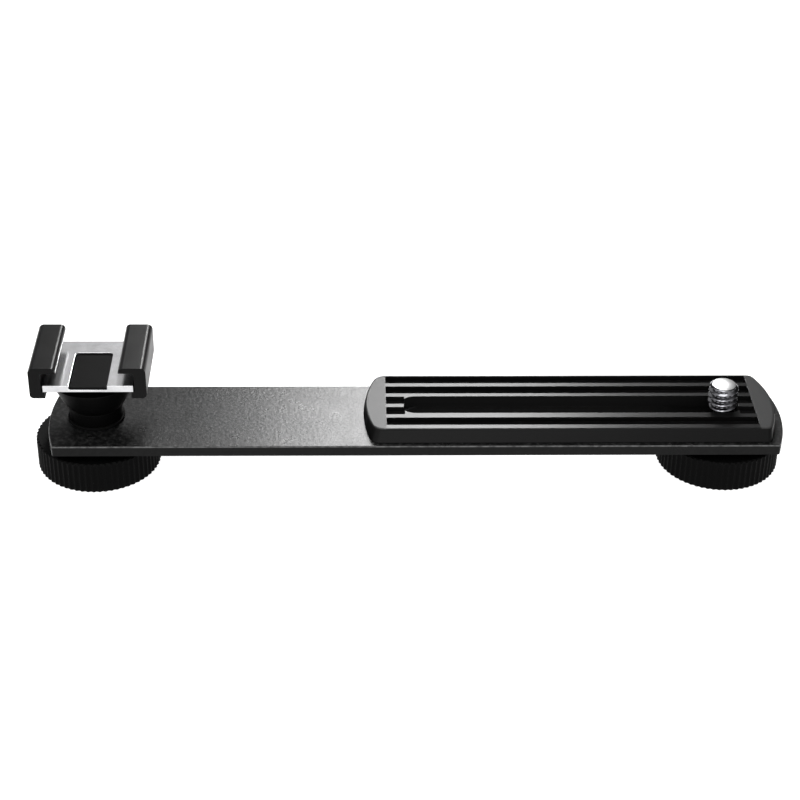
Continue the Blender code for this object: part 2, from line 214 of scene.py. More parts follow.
def slab(name, outlines, low, high):
    """Flat piece from a filled 2D curve: the first outline is its edge, the others are holes."""
    curve = bpy.data.curves.new(name, "CURVE")
    curve.dimensions = "2D"
    curve.fill_mode = "BOTH"
    curve.extrude = (high - low) / 2 * MM
    for outline in outlines:
        spline = curve.splines.new("POLY")
        spline.points.add(len(outline) - 1)
        for point, (x, y) in zip(spline.points, outline):
            point.co = (x * MM, y * MM, 0.0, 1.0)
        spline.use_cyclic_u = True
    source = bpy.data.objects.new(name + "_outline", curve)
    bpy.context.scene.collection.objects.link(source)
    bpy.context.view_layer.update()
    evaluated = source.evaluated_get(bpy.context.evaluated_depsgraph_get())
    bm = bmesh.new()
    bm.from_mesh(bpy.data.meshes.new_from_object(evaluated))
    bpy.data.objects.remove(source, do_unlink=True)
    bpy.data.curves.remove(curve)
    bmesh.ops.remove_doubles(bm, verts=bm.verts, dist=WELD)
    bmesh.ops.dissolve_limit(bm, angle_limit=math.radians(0.5), verts=bm.verts, edges=bm.edges)
    bmesh.ops.translate(bm, verts=bm.verts, vec=(0.0, 0.0, (low + high) / 2 * MM))
    return mesh_object(name, bm)


def blocks(name, corners):
    """Separate boxes in one object, each given by its low and high corner."""
    bm = bmesh.new()
    for low, high in corners:
        low, high = Vector(low) * MM, Vector(high) * MM
        made = bmesh.ops.create_cube(bm, size=1.0)["verts"]
        bmesh.ops.scale(bm, vec=high - low, verts=made)
        bmesh.ops.translate(bm, vec=(low + high) / 2, verts=made)
    return mesh_object(name, bm)


def bake(obj):
    """Apply the object's modifiers."""
    bpy.context.view_layer.update()
    evaluated = obj.evaluated_get(bpy.context.evaluated_depsgraph_get())
    mesh = bpy.data.meshes.new_from_object(evaluated)
    obj.modifiers.clear()
    obj.data = mesh


def cut(obj, *cutters):
    """Take the cutters out of the object and remove them."""
    for cutter in cutters:
        modifier = obj.modifiers.new("cut", "BOOLEAN")
        modifier.operation = "DIFFERENCE"
        modifier.solver = "EXACT"
        modifier.object = cutter
        bake(obj)
        bpy.data.objects.remove(cutter, do_unlink=True)


def round_edges(obj, width, segments=3, sharper_than=SHARP_EDGE):
    """Round every edge that is sharper than an angle in degrees."""
    modifier = obj.modifiers.new("edges", "BEVEL")
    modifier.width = width * MM
    modifier.segments = segments
    modifier.limit_method = "ANGLE"
    modifier.angle_limit = math.radians(sharper_than)
    modifier.miter_outer = "MITER_ARC"
    bake(obj)


def round_chosen(obj, width, segments, chosen):
    """Round the sharp edges whose two ends both pass chosen(x, y, z), in millimetres."""
    bm = bmesh.new()
    bm.from_mesh(obj.data)
    edges = [edge for edge in bm.edges
             if len(edge.link_faces) == 2 and edge.calc_face_angle() > math.radians(SHARP_EDGE)
             and all(chosen(*(vert.co / MM)) for vert in edge.verts)]
    bmesh.ops.bevel(bm, geom=edges, offset=width * MM, offset_type="OFFSET", segments=segments,
                    profile=0.5, affect="EDGES", clamp_overlap=True)
    bm.to_mesh(obj.data)
    bm.free()


def dress(obj, node, material):
    """Finish a piece: smooth shading, material, and the CAD node that it stands for."""
    obj.data.shade_smooth()
    obj.data.set_sharp_from_angle(angle=math.radians(38.0))
    weighted = obj.modifiers.new("normals", "WEIGHTED_NORMAL")
    weighted.keep_sharp = True
    weighted.weight = 100
    bake(obj)
    obj.data.materials.clear()
    obj.data.materials.append(material)
    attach(obj, BODY_OF[node])
    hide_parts(node)
    return obj


# --- materials -----------------------------------------------------------------------------
FAR = 99.0                      # beyond the object, for masks that are open on one side
ANODISED_GREY = 0.003
# paler grey for the blast specks and for the painted highlight on the bar's front top edges
SPECK_AND_EDGE_HIGHLIGHT_GREY = 0.08
LIT_TOP_GREY = 0.9                # faced-off end of the plated screw, painted pale as the lit top
FACED_ROUGHNESS = 0.33


class Finish:
    """A Principled material with its node tree at hand; texture sizes are in millimetres."""

    def __init__(self, name, colour, roughness, metallic=0.0, specular=0.5):
        self.material = bpy.data.materials.new(name)
        self.material.use_nodes = True
        self.nodes = self.material.node_tree.nodes
        self.links = self.material.node_tree.links
        self.shader = self.nodes["Principled BSDF"]
        self.shader.inputs["Base Color"].default_value = (*colour, 1.0)
        self.shader.inputs["Roughness"].default_value = roughness
        self.shader.inputs["Metallic"].default_value = metallic
        self.shader.inputs["Specular IOR Level"].default_value = specular
        self.place = self.nodes.new("ShaderNodeTexCoord").outputs["Object"]
        self.normal = None

    def node(self, kind, **settings):
        made = self.nodes.new(kind)
        for key, value in settings.items():
            setattr(made, key, value)
        return made

    def stretched(self, sx, sy, sz):
        """Object coordinates in millimetres, divided by a grain size along each axis."""
        mapping = self.node("ShaderNodeMapping")
        mapping.inputs["Scale"].default_value = (1.0 / (sx * MM), 1.0 / (sy * MM), 1.0 / (sz * MM))
        self.links.new(self.place, mapping.inputs["Vector"])
        return mapping.outputs["Vector"]

    def noise(self, size, detail=2.0, rough=0.5):
        sizes = size if isinstance(size, tuple) else (size, size, size)
        texture = self.node("ShaderNodeTexNoise")
        texture.inputs["Scale"].default_value = 1.0
        texture.inputs["Detail"].default_value = detail
        texture.inputs["Roughness"].default_value = rough
        self.links.new(self.stretched(*sizes), texture.inputs["Vector"])
        return texture.outputs["Fac"]

    def grains(self, size):
        texture = self.node("ShaderNodeTexVoronoi", feature="F1")
        texture.inputs["Scale"].default_value = 1.0
        self.links.new(self.stretched(size, size, size), texture.inputs["Vector"])
        return texture.outputs["Distance"]

    def ramp(self, source, *stops):
        """Map a 0 to 1 value through (position, grey) stops."""
        made = self.node("ShaderNodeValToRGB")
        elements = made.color_ramp.elements
        while len(elements) < len(stops):
            elements.new(0.5)
        for element, (position, grey) in zip(elements, stops):
            element.position = position
            element.color = (grey, grey, grey, 1.0)
        self.links.new(source, made.inputs["Fac"])
        return made.outputs["Color"]

    def math(self, operation, a, b):
        made = self.node("ShaderNodeMath", operation=operation)
        for socket, value in zip(made.inputs, (a, b)):
            if isinstance(value, (int, float)):
                socket.default_value = value
            else:
                self.links.new(value, socket)
        return made.outputs["Value"]

    def between(self, axis, low, high):
        """1 where the object coordinate along X, Y or Z lies between two values in millimetres."""
        split = self.node("ShaderNodeSeparateXYZ")
        self.links.new(self.place, split.inputs["Vector"])
        above = self.math("GREATER_THAN", split.outputs[axis], low * MM)
        return self.math("MULTIPLY", above, self.math("LESS_THAN", split.outputs[axis], high * MM))

    def roughness(self, source):
        self.links.new(source, self.shader.inputs["Roughness"])

    def bump(self, source, depth, strength=1.0):
        """Add a bump whose full height is depth, in millimetres."""
        made = self.node("ShaderNodeBump")
        made.inputs["Distance"].default_value = depth * MM
        made.inputs["Strength"].default_value = strength
        self.links.new(source, made.inputs["Height"])
        if self.normal:
            self.links.new(self.normal, made.inputs["Normal"])
        self.normal = made.outputs["Normal"]
        self.links.new(self.normal, self.shader.inputs["Normal"])

    def colours(self, mask, first, second):
        """Base colour from first, where the mask is 0, to second, where it is 1."""
        mix = self.node("ShaderNodeMix", data_type="RGBA")
        mix.inputs["A"].default_value = (*first, 1.0)
        mix.inputs["B"].default_value = (*second, 1.0)
        self.links.new(mask, mix.inputs["Factor"])
        self.links.new(mix.outputs["Result"], self.shader.inputs["Base Color"])

    def upward(self, *stops):
        """Map how far the surface faces up, 1 for a level top and 0 for a side, through stops."""
        split = self.node("ShaderNodeSeparateXYZ")
        self.links.new(self.node("ShaderNodeTexCoord").outputs["Normal"], split.inputs["Vector"])
        return self.ramp(split.outputs["Z"], *stops)

    def edge_mask(self, radius):
        """1 along the piece's outer edges, 0 on its faces."""
        bevel = self.node("ShaderNodeBevel", samples=6)
        bevel.inputs["Radius"].default_value = radius * MM
        geometry = self.node("ShaderNodeNewGeometry")
        dot = self.node("ShaderNodeVectorMath", operation="DOT_PRODUCT")
        self.links.new(bevel.outputs["Normal"], dot.inputs[0])
        self.links.new(geometry.outputs["Normal"], dot.inputs[1])
        return self.ramp(dot.outputs["Value"], (0.80, 1.0), (0.985, 0.0))


def grey(value):
    return (value, value, value)


def slot_walls(finish, low, high):
    """1 on the walls of the long slot, from a low to a high level."""
    reach = BAR_SLOT_HALF_WIDTH + 0.1
    return finish.math("MULTIPLY", finish.between("Y", -reach, reach),
                       finish.between("Z", low, high))


def anodised_finish():
    """Sandblasted and black anodised aluminium: blast pits, bright specks and a painted highlight
    along the front top edges; the walls of the slot are dull."""
    finish = Finish("anodised_bar", grey(ANODISED_GREY), 0.3, 0.0, 0.1)
    grain = finish.noise(0.9, 3.0, 0.6)
    pits = finish.grains(0.7)
    patches = finish.noise(7.0, 2.0)
    mottle = finish.ramp(grain, (0.45, 0.0), (0.72, 0.22))
    specks = finish.math("MULTIPLY", finish.ramp(finish.grains(0.9), (0.08, 1.0), (0.26, 0.0)),
                         finish.ramp(finish.noise(1.7), (0.47, 0.0), (0.58, 0.4)))
    top = finish.upward((0.5, 0.1), (0.9, 1.0))
    edges = finish.upward((0.08, 0.0), (0.25, 1.0), (0.9, 1.0), (0.985, 0.0))
    # Painted highlight: the rounded edges along the front top of the bar are painted paler in broken
    # patches, standing in for the line of light they catch.
    front_top = finish.math("MULTIPLY", finish.between("Z", BAR_HIGH.z - 0.5, FAR),
                            finish.between("Y", -FAR, 4.0))
    front_edge_highlight = finish.math("MULTIPLY", finish.math("MULTIPLY", edges, front_top),
                       finish.ramp(finish.noise(1.1, 3.0), (0.34, 0.4), (0.6, 1.0)))
    blasted = finish.math("MULTIPLY", finish.math("MAXIMUM", specks, mottle), top)
    lighter = finish.math("MAXIMUM", blasted, front_edge_highlight)
    finish.colours(lighter, grey(ANODISED_GREY), grey(SPECK_AND_EDGE_HIGHLIGHT_GREY))
    finish.roughness(finish.math("MAXIMUM", finish.ramp(patches, (0.3, 0.27), (0.7, 0.31)),
                                 slot_walls(finish, BAR_LOW.z + 0.1, BAR_HIGH.z - 0.1)))
    finish.bump(grain, 0.034, 1.0)
    finish.bump(pits, 0.008, 0.8)
    return finish.material


def moulded_finish(name, base, roughness, specular, grain_size=0.18, grain_depth=0.003,
                   paler=None):
    """Black moulding: a fine spark-eroded grain, faint cloudiness and slightly rubbed edges, and a
    paler skin where paler(finish) is 1."""
    finish = Finish(name, grey(base), roughness, 0.0, specular)
    clouds = finish.noise(4.0, 3.0)
    rubbed = finish.math("MULTIPLY", finish.edge_mask(0.2),
                         finish.ramp(finish.noise(1.3, 3.0), (0.42, 0.0), (0.7, 1.0)))
    lighter = finish.math("MAXIMUM", rubbed, paler(finish)) if paler else rubbed
    finish.colours(lighter, grey(base), grey(base * 3.0 + 0.012))
    finish.roughness(finish.ramp(clouds, (0.25, roughness - 0.03), (0.75, roughness + 0.04)))
    finish.bump(finish.noise(grain_size, 2.0), grain_depth, 0.8)
    return finish


def pad_ends(finish):
    """1 on the level ends of the pad, beyond its grooves."""
    ends = finish.math("SUBTRACT", 1.0, finish.between("X", GROOVE_LEFT - 0.1, GROOVE_RIGHT + 0.1))
    return finish.math("MULTIPLY", ends, finish.between("Z", PAD_HIGH.z - 0.15, FAR))


def pad_finish():
    """The moulding of the pad: smooth ribs, grained ends and dull walls inside the slot."""
    finish = moulded_finish("pad_moulding", 0.003, 0.27, 0.07, paler=pad_ends)
    grained = pad_ends(finish)
    dull = finish.math("MAXIMUM", finish.math("MULTIPLY", grained, 0.37),
                       slot_walls(finish, PAD_LOW.z - 0.5, PAD_HIGH.z - 0.12))
    finish.roughness(finish.math("MAXIMUM", dull, 0.28))
    finish.bump(finish.math("MULTIPLY", finish.noise(0.3, 2.0), grained), 0.008, 1.0)
    return finish.material


def metal_finish(name, colour, roughness, scratch=(9.0, 0.05, 0.05), scratch_depth=0.0012,
                 spread=0.06, faced_above=None):
    """Bare or plated metal with fine drawn or turned lines, and a little tarnish unless faced_above
    is given; above the level faced_above, in millimetres, it is faced off with wider highlights
    and painted pale as a lit copy of the metal, whose own colour then stands for shade."""
    finish = Finish(name, colour, roughness, 1.0)
    lines = finish.noise(scratch, 2.0)
    rough = finish.ramp(lines, (0.3, roughness - spread), (0.7, roughness + spread))
    if faced_above:
        faced = finish.between("Z", faced_above, FAR)
        rough = finish.math("MAXIMUM", rough, finish.math("MULTIPLY", faced, FACED_ROUGHNESS))
        # painted highlight and shade: pale grey above the level, the darker given colour below it
        finish.colours(faced, colour, grey(LIT_TOP_GREY))
    else:
        tarnish = finish.ramp(finish.noise(2.2, 3.0), (0.35, 0.0), (0.75, 1.0))
        finish.colours(tarnish, colour, tuple(c * 0.86 for c in colour))
    finish.roughness(rough)
    finish.bump(lines, scratch_depth, 0.7)
    return finish.material


SHOE_FINISH = moulded_finish("shoe_moulding", 0.002, 0.34, 0.08, 0.24, 0.005).material
KNOB_FINISH = moulded_finish("knob_moulding", 0.0012, 0.46, 0.03, 0.2, 0.004).material
INSERT_FINISH = moulded_finish("insert_moulding", 0.003, 0.5, 0.02, 0.22, 0.006).material
RUBBER_FINISH = moulded_finish("black_rubber", 0.003, 0.75, 0.04, 0.3, 0.008).material
NYLON_FINISH = moulded_finish("black_nylon", 0.004, 0.5, 0.1, 0.3, 0.003).material
# The plating's colour is painted dark as shade on the screw's thread and shank; its faced-off top is
# painted pale as the lit copy.
CHROME_FINISH = metal_finish("plating_painted_shade", (0.16, 0.16, 0.17), 0.11, (0.06, 0.06, 3.0), 0.0002,
                             0.03, limits("camera_screw")[1].z - 0.03)
PLATE_FINISH = metal_finish("satin_plate", (0.56, 0.56, 0.57), 0.2, (7.0, 0.06, 0.06), 0.0003, 0.02)
STEEL_FINISH = metal_finish("zinc_plating", (0.56, 0.56, 0.57), 0.30)
BRASS_FINISH = metal_finish("turned_brass", (0.74, 0.54, 0.24), 0.24, (0.05, 0.05, 4.0), 0.001)


# --- the bar -------------------------------------------------------------------------------
BAR_END_RADII = (40.0, 33.0)            # left end, right end
BAR_SLOT_HALF_WIDTH = 3.5
BAR_TOP_EDGE = 0.3
SLOT_HALF_WIDTH = 3.3
SLOT_LEFT = -1.4
SLOT_RIGHT = 70.4
BOLT_HOLE_RADIUS = 2.8
PAD_SCREW_HOLE = 1.3                    # radius


def countersink(name, x, y, low, high):
    """Cutter for a countersunk screw hole that opens downwards."""
    head, below = PAD_SCREW_HOLE + 1.2, low - 1.0
    return turned(name, [(0.0, high), (PAD_SCREW_HOLE, high), (PAD_SCREW_HOLE, low + 1.2),
                         (head, low), (head, below), (0.0, below)], (x, y), 48)


def make_bar():
    radius = BAR_SLOT_HALF_WIDTH
    slot = (arc(SLOT_RIGHT - radius, 0.0, radius, -90.0, 90.0, 20)
            + arc(SLOT_LEFT + radius, 0.0, radius, 90.0, 270.0, 20))
    edge = bowed_outline((BAR_LOW.x, BAR_HIGH.x, BAR_LOW.y, BAR_HIGH.y), BAR_END_RADII, 0.0,
                         (0.4, 0.4))
    bar = slab("base_bar_detail", [edge, slot, circle(SHOE_X, 0.0, BOLT_HOLE_RADIUS)],
               BAR_LOW.z, BAR_HIGH.z)
    round_chosen(bar, BAR_TOP_EDGE, 4, lambda x, y, z: z > BAR_HIGH.z - 0.01 and (
        abs(y) > 4.5 or x > SCREW_X + 6.0 or x < SHOE_X - 6.0))
    for node in ("pad_screw_left", "pad_screw_right"):
        x, y = axis_of(node)
        cut(bar, countersink(node + "_cutter", x, y, BAR_LOW.z, BAR_HIGH.z + 1.0))
    round_edges(bar, 0.18, 3, 60.0)
    dress(bar, "base_bar", anodised_finish())


# --- the pad -------------------------------------------------------------------------------
PAD_BASE = (-9.95, 78.2, -10.7, 11.9)   # left, right, front, back of the outline
PAD_TOP = (-9.55, 78.0, -9.45, 11.9)
PAD_BASE_RADII = (38.0, 30.0)           # left end, right end
PAD_TOP_RADII = (25.0, 24.5)
PAD_ARC_Y = 0.5                         # middle of the bowed ends
PAD_CORNERS = (1.8, 0.9)
PAD_EDGE = 0.3
PAD_RIGHT_EDGE = 0.65                   # the rounded edge is wider at the right end
RIB_PITCH = 4.11
RIB_WIDTH = 1.3
MIDDLE_RIB_Y = -0.3
GROOVE_DEPTH = 1.2
GROOVE_LEFT = -5.2
GROOVE_RIGHT = 73.6
SLOT_FLAT = 0.8                         # how much of the slot's round end is cut off square


def pad_row(height, tucked):
    """Pad outline at a height, drawn in from the drafted wall by a distance."""
    share = (height - PAD_LOW.z) / (PAD_HIGH.z - PAD_LOW.z)
    left, right, front, back = (a + (b - a) * share for a, b in zip(PAD_BASE, PAD_TOP))
    radii = [a + (b - a) * share for a, b in zip(PAD_BASE_RADII, PAD_TOP_RADII)]
    right -= tucked * PAD_RIGHT_EDGE / PAD_EDGE
    outline = bowed_outline((left + tucked, right, front + tucked, back - tucked), radii,
                            PAD_ARC_Y, PAD_CORNERS)
    return [(x, y, height) for x, y in outline]


def pad_body():
    rows = [pad_row(BAR_HIGH.z + SEAT, 0.12), pad_row(BAR_HIGH.z + SEAT + 0.12, 0.0)]
    for k in range(6):
        angle = math.radians(90.0 * k / 5)
        rows.append(pad_row(PAD_HIGH.z - PAD_EDGE * (1.0 - math.sin(angle)),
                            PAD_EDGE * (1.0 - math.cos(angle))))
    bm = bmesh.new()
    loops = [[bm.verts.new(Vector(point) * MM) for point in row] for row in rows]
    bm.faces.new(reversed(loops[0]))
    bm.faces.new(loops[-1])
    for low, high in zip(loops, loops[1:]):
        for i in range(len(low)):
            j = (i + 1) % len(low)
            bm.faces.new((low[i], low[j], high[j], high[i]))
    return mesh_object("ribbed_pad_detail", bm)


def groove_boxes():
    """Grooves between the ribs; the two beside the middle rib stop at the slot's ends."""
    corners = []
    for index in range(-2, 3):
        low_y = MIDDLE_RIB_Y + index * RIB_PITCH + RIB_WIDTH / 2
        high_y = low_y + RIB_PITCH - RIB_WIDTH
        spans = [(GROOVE_LEFT, GROOVE_RIGHT)]
        if index in (-1, 0):
            spans = [(GROOVE_LEFT, SLOT_LEFT + 0.15), (SLOT_RIGHT - 0.15, GROOVE_RIGHT)]
        for left, right in spans:
            corners.append(((left, low_y, PAD_HIGH.z - GROOVE_DEPTH),
                            (right, high_y, PAD_HIGH.z + 1.0)))
    return corners


def slot_outline():
    """The pad's slot: round ends with their last fraction of a millimetre cut square."""
    radius = SLOT_HALF_WIDTH
    left = SLOT_LEFT - SLOT_FLAT + radius
    right = SLOT_RIGHT + SLOT_FLAT - radius
    sweep = math.degrees(math.acos((radius - SLOT_FLAT) / radius))
    return (arc(right, 0.0, radius, -90.0, -sweep, 10) + arc(right, 0.0, radius, sweep, 90.0, 10)
            + arc(left, 0.0, radius, 90.0, 180.0 - sweep, 10)
            + arc(left, 0.0, radius, 180.0 + sweep, 270.0, 10))


def make_pad():
    pad = pad_body()
    cut(pad, blocks("grooves", groove_boxes()),
        slab("slot", [slot_outline()], BAR_HIGH.z - 1.0, PAD_HIGH.z + 1.0))
    for node in ("pad_screw_left", "pad_screw_right"):
        x, y = axis_of(node)
        top, bottom = PAD_HIGH.z - 0.5, BAR_HIGH.z - 1.0
        cut(pad, turned("pilot", [(0.0, top), (PAD_SCREW_HOLE, top), (PAD_SCREW_HOLE, bottom),
                                  (0.0, bottom)], (x, y), 32))
    round_edges(pad, 0.1, 2, 50.0)
    dress(pad, "ribbed_pad", pad_finish())


def make_pad_screws():
    for node in ("pad_screw_left", "pad_screw_right"):
        low, high = limits(node)
        centre = axis_of(node)
        screw = turned(node + "_detail",
                       [(0.0, high.z), (1.0, high.z, 0.2), (1.0, low.z + 1.0, 0.15),
                        (2.0, low.z + 0.12, 0.08), (1.9, low.z, 0.08), (0.0, low.z)], centre, 48, 3)
        x, y = centre
        arm, half, deep = 1.15, 0.22, low.z + 0.6
        cut(screw, blocks("recess_a", [((x - arm, y - half, low.z - 1.0), (x + arm, y + half, deep))]),
            blocks("recess_b", [((x - half, y - arm, low.z - 1.0), (x + half, y + arm, deep))]))
        dress(screw, node, STEEL_FINISH)


# --- threads and knobs ---------------------------------------------------------------------
def thread_wave(height, angle):
    """0 at a right-hand thread's crest and 1 at its root, with straight flanks between flats."""
    phase = (height / THREAD_PITCH - angle / math.tau) % 1.0
    away = 1.0 - abs(2.0 * phase - 1.0)
    return min(max((away - THREAD_CREST_FLAT) / THREAD_FLANK, 0.0), 1.0)


def steps_between(high, low, step):
    """Even heights from high down to low, about one step apart."""
    count = max(1, round((high - low) / step))
    return [high + (low - high) * i / count for i in range(count + 1)]


def make_camera_screw():
    low, high = limits("camera_screw")
    crest = (high.x - low.x) / 2
    thread_low = BAR_HIGH.z + 2.0
    top_radius, chamfer = 2.5, 0.6
    shank = 2.3

    def thread(radius, height, angle):
        fade = min(max((height - thread_low - 0.2) / 0.5, 0.0), 1.0)
        return min(radius, crest - THREAD_DEPTH * (thread_wave(height, angle) * fade + 1.0 - fade))

    profile = [(0.0, high.z), (top_radius - 0.12, high.z), (top_radius, high.z - 0.08)]
    for height in steps_between(high.z - 0.1, thread_low + 0.1, 0.085):
        chamfered = top_radius + (crest - top_radius) * (high.z - height) / chamfer
        profile.append((min(crest, chamfered), height))
    profile += [(shank, thread_low), (shank, low.z + 0.3), (shank - 0.3, low.z), (0.0, low.z)]

    def reshape(radius, height, angle):
        inside = thread_low + 0.05 < height < high.z - 0.09
        return thread(radius, height, angle) if inside else radius

    screw = turned("camera_screw_detail", profile, axis_of("camera_screw"), 96, 1, reshape)
    dress(screw, "camera_screw", CHROME_FINISH)


def serrated(outer):
    """Fine vertical teeth on the rim, at full depth inside the chamfers."""
    def reshape(radius, height, angle):
        wave = 0.5 - 0.5 * math.cos(KNOB_TEETH * angle)
        depth = TOOTH_DEPTH * min(max((radius - outer + 0.75) / 0.5, 0.0), 1.0)
        return radius - depth * wave ** 0.8
    return reshape


def knob_outside(node):
    """Rim profile of a knob from its top face to its bottom face."""
    low, high = limits(node)
    outer = (high.x - low.x) / 2
    rim, chamfer = outer - 0.28, 0.25
    return outer, [(rim - 1.2, high.z), (rim, high.z), (outer, high.z - chamfer),
                   (outer, (low.z + high.z) / 2), (outer, low.z + chamfer), (rim, low.z),
                   (rim - 1.2, low.z)]


def knob_dish(high):
    """Profile of the dish in the top of a knob, from its floor to its edge."""
    return [(KNOB_DISH_RADIUS, high.z - KNOB_DISH_DEPTH, 0.1),
            (KNOB_DISH_RADIUS + 0.3, high.z, 0.1)]


def make_camera_knob():
    low, high = limits("camera_knob")
    bore = (limits("camera_socket")[1].x - SCREW_X) + 0.05
    outer, outside = knob_outside("camera_knob")
    step, step_height = 6.3, low.z + 0.3
    inside = [(step + 0.2, low.z, 0.1), (step, step_height, 0.1), (bore, step_height, 0.1),
              (bore, high.z - KNOB_DISH_DEPTH, 0.1)] + knob_dish(high)
    knob = turned("camera_knob_detail", outside + inside, (SCREW_X, 0.0), KNOB_TEETH * 10, 3,
                  serrated(outer))
    dress(knob, "camera_knob", KNOB_FINISH)


def make_camera_socket():
    low, high = limits("camera_socket")
    outer = (high.x - low.x) / 2
    bore_top, floor = 4.9, 5.4
    bore, stud_bore = 3.15, 2.6

    def thread(radius, height, angle):
        if not (low.z + 0.35 < height < bore_top - 0.25 and abs(radius - bore) < 0.01):
            return radius
        return bore - 0.5 * thread_wave(height, angle)

    profile = [(0.0, bore_top), (bore - 0.3, bore_top), (bore, bore_top - 0.2)]
    profile += [(bore, height) for height in steps_between(bore_top - 0.3, low.z + 0.4, 0.1)]
    profile += [(bore + 0.1, low.z + 0.25), (bore + 0.35, low.z), (outer - 0.2, low.z),
                (outer, low.z + 0.2), (outer, high.z - 0.2), (outer - 0.2, high.z),
                (stud_bore + 0.2, high.z), (stud_bore, high.z - 0.2), (stud_bore, floor),
                (0.0, floor)]
    socket = turned("camera_socket_detail", profile, (SCREW_X, 0.0), 96, 1, thread)
    dress(socket, "camera_socket", BRASS_FINISH)


def make_shoe_knob():
    """The knob with its nut recess, and the disc that closes it from below."""
    low, high = limits("shoe_knob")
    outer, outside = knob_outside("shoe_knob")
    cap_bore = (limits("shoe_knob_cap")[1].x - SHOE_X) + 0.12
    seat = low.z + 1.0
    inside = [(cap_bore + 0.2, low.z, 0.1), (cap_bore, low.z + 0.2, 0.1), (cap_bore, seat, 0.1),
              (NUT_RECESS_RADIUS, seat, 0.1), (NUT_RECESS_RADIUS, NUT_RECESS_TOP, 0.2),
              (BOLT_HOLE_RADIUS, NUT_RECESS_TOP, 0.1),
              (BOLT_HOLE_RADIUS, high.z - KNOB_DISH_DEPTH, 0.1)] + knob_dish(high)
    knob = turned("shoe_knob_detail", outside + inside, (SHOE_X, 0.0), KNOB_TEETH * 10, 3,
                  serrated(outer))
    dress(knob, "shoe_knob", KNOB_FINISH)

    low, high = limits("shoe_knob_cap")
    radius = (high.x - low.x) / 2
    cap = turned("shoe_knob_cap_detail",
                 [(0.0, high.z), (radius, high.z, 0.1), (radius, low.z, 0.15),
                  (radius - 1.1, low.z, 0.1), (radius - 1.4, low.z + 0.2, 0.1), (0.0, low.z + 0.2)],
                 (SHOE_X, 0.0))
    dress(cap, "shoe_knob_cap", KNOB_FINISH)


def make_nut():
    low, high = limits("shoe_nut")
    corner = (high.x - low.x) / 2
    flat = corner * math.cos(math.radians(30.0))

    def hexagon(radius, height, angle):
        if radius < flat * 0.9:
            return radius
        side = (angle % math.radians(60.0)) - math.radians(30.0)
        return min(radius, flat / math.cos(side))

    nut = turned("shoe_nut_detail",
                 [(flat * 0.96, high.z), (corner, high.z - 0.45), (corner, low.z + 0.45),
                  (flat * 0.96, low.z), (BOLT_HOLE_RADIUS + 0.25, low.z),
                  (BOLT_HOLE_RADIUS, low.z + 0.25), (BOLT_HOLE_RADIUS, high.z - 0.25),
                  (BOLT_HOLE_RADIUS + 0.25, high.z)], (SHOE_X, 0.0), 96, 1, hexagon)
    dress(nut, "shoe_nut", STEEL_FINISH)


def make_washers():
    """Flat nylon washers, and spring washers with three waves."""
    for prefix, x, bore in (("camera", SCREW_X, 2.6), ("shoe", SHOE_X, BOLT_HOLE_RADIUS)):
        low, high = limits(prefix + "_washer")
        radius = (high.x - low.x) / 2
        washer = turned(prefix + "_washer_detail",
                        [(radius, high.z, 0.12), (radius, low.z, 0.12), (bore, low.z, 0.1),
                         (bore, high.z, 0.1)], (x, 0.0), 96, 3)
        dress(washer, prefix + "_washer", NYLON_FINISH)

        low, high = limits(prefix + "_wave_washer")
        radius = (high.x - low.x) / 2
        middle, half = (low.z + high.z) / 2, 0.09
        wave = (high.z - low.z) / 2 - half
        rows = []
        for r, side in ((radius, half), (radius, -half), (bore, -half), (bore, half)):
            row = []
            for i in range(96):
                angle = math.tau * i / 96
                row.append((x + r * math.cos(angle), r * math.sin(angle),
                            middle + side + wave * math.cos(3 * angle)))
            rows.append(row)
        dress(skin(prefix + "_wave_washer_detail", rows, True), prefix + "_wave_washer",
              STEEL_FINISH)


# --- the cold shoe and its stem ------------------------------------------------------------
WALL_INNER = 9.6
FLANGE_INNER = 6.4
FLANGE_UNDER = 27.05
WEB_SETBACK = 2.4
LIP_INNER = 8.9
POCKET_HALF_WIDTH = 3.95
POCKET_BACK = 4.3


def make_stem():
    """The bolt, and from the bar up the rubber washer, the collar and the flared cone."""
    low, high = limits("shoe_bolt")
    head, shank = (high.x - low.x) / 2, 2.5
    bolt = turned("shoe_bolt_detail",
                  [(0.0, high.z - 0.45), (1.4, high.z - 0.45), (1.5, high.z, 0.05),
                   (head, high.z, 0.1), (shank, high.z - 0.9, 0.1), (shank, low.z + 0.3),
                   (shank - 0.3, low.z), (0.0, low.z)], (SHOE_X, 0.0), 96, 3)
    dress(bolt, "shoe_bolt", STEEL_FINISH)

    low, high = limits("stem_washer")
    radius = (high.x - low.x) / 2
    washer = turned("stem_washer_detail",
                    [(radius, high.z, 0.15), (radius, BAR_HIGH.z + SEAT, 0.1),
                     (BOLT_HOLE_RADIUS, BAR_HIGH.z + SEAT), (BOLT_HOLE_RADIUS, high.z)],
                    (SHOE_X, 0.0))
    dress(washer, "stem_washer", RUBBER_FINISH)

    low, high = limits("stem_collar")
    radius = (high.x - low.x) / 2
    collar_low = limits("stem_washer")[1].z + SEAT
    collar = turned("stem_collar_detail",
                    [(radius, high.z, 0.25), (radius, collar_low, 0.2),
                     (BOLT_HOLE_RADIUS, collar_low), (BOLT_HOLE_RADIUS, high.z)], (SHOE_X, 0.0))
    dress(collar, "stem_collar", KNOB_FINISH)

    low, high = limits("stem_cone")
    radius = (high.x - low.x) / 2
    top = SHOE_LOW.z - SEAT
    cone = turned("stem_cone_detail",
                  [(radius - 0.2, top, 0.1), (6.95, low.z + 1.6, 3.0), (6.3, low.z + 0.5, 0.4),
                   (5.9, low.z, 0.2), (BOLT_HOLE_RADIUS, low.z), (BOLT_HOLE_RADIUS, top)],
                  (SHOE_X, 0.0), 128, 8)
    dress(cone, "stem_cone", KNOB_FINISH)


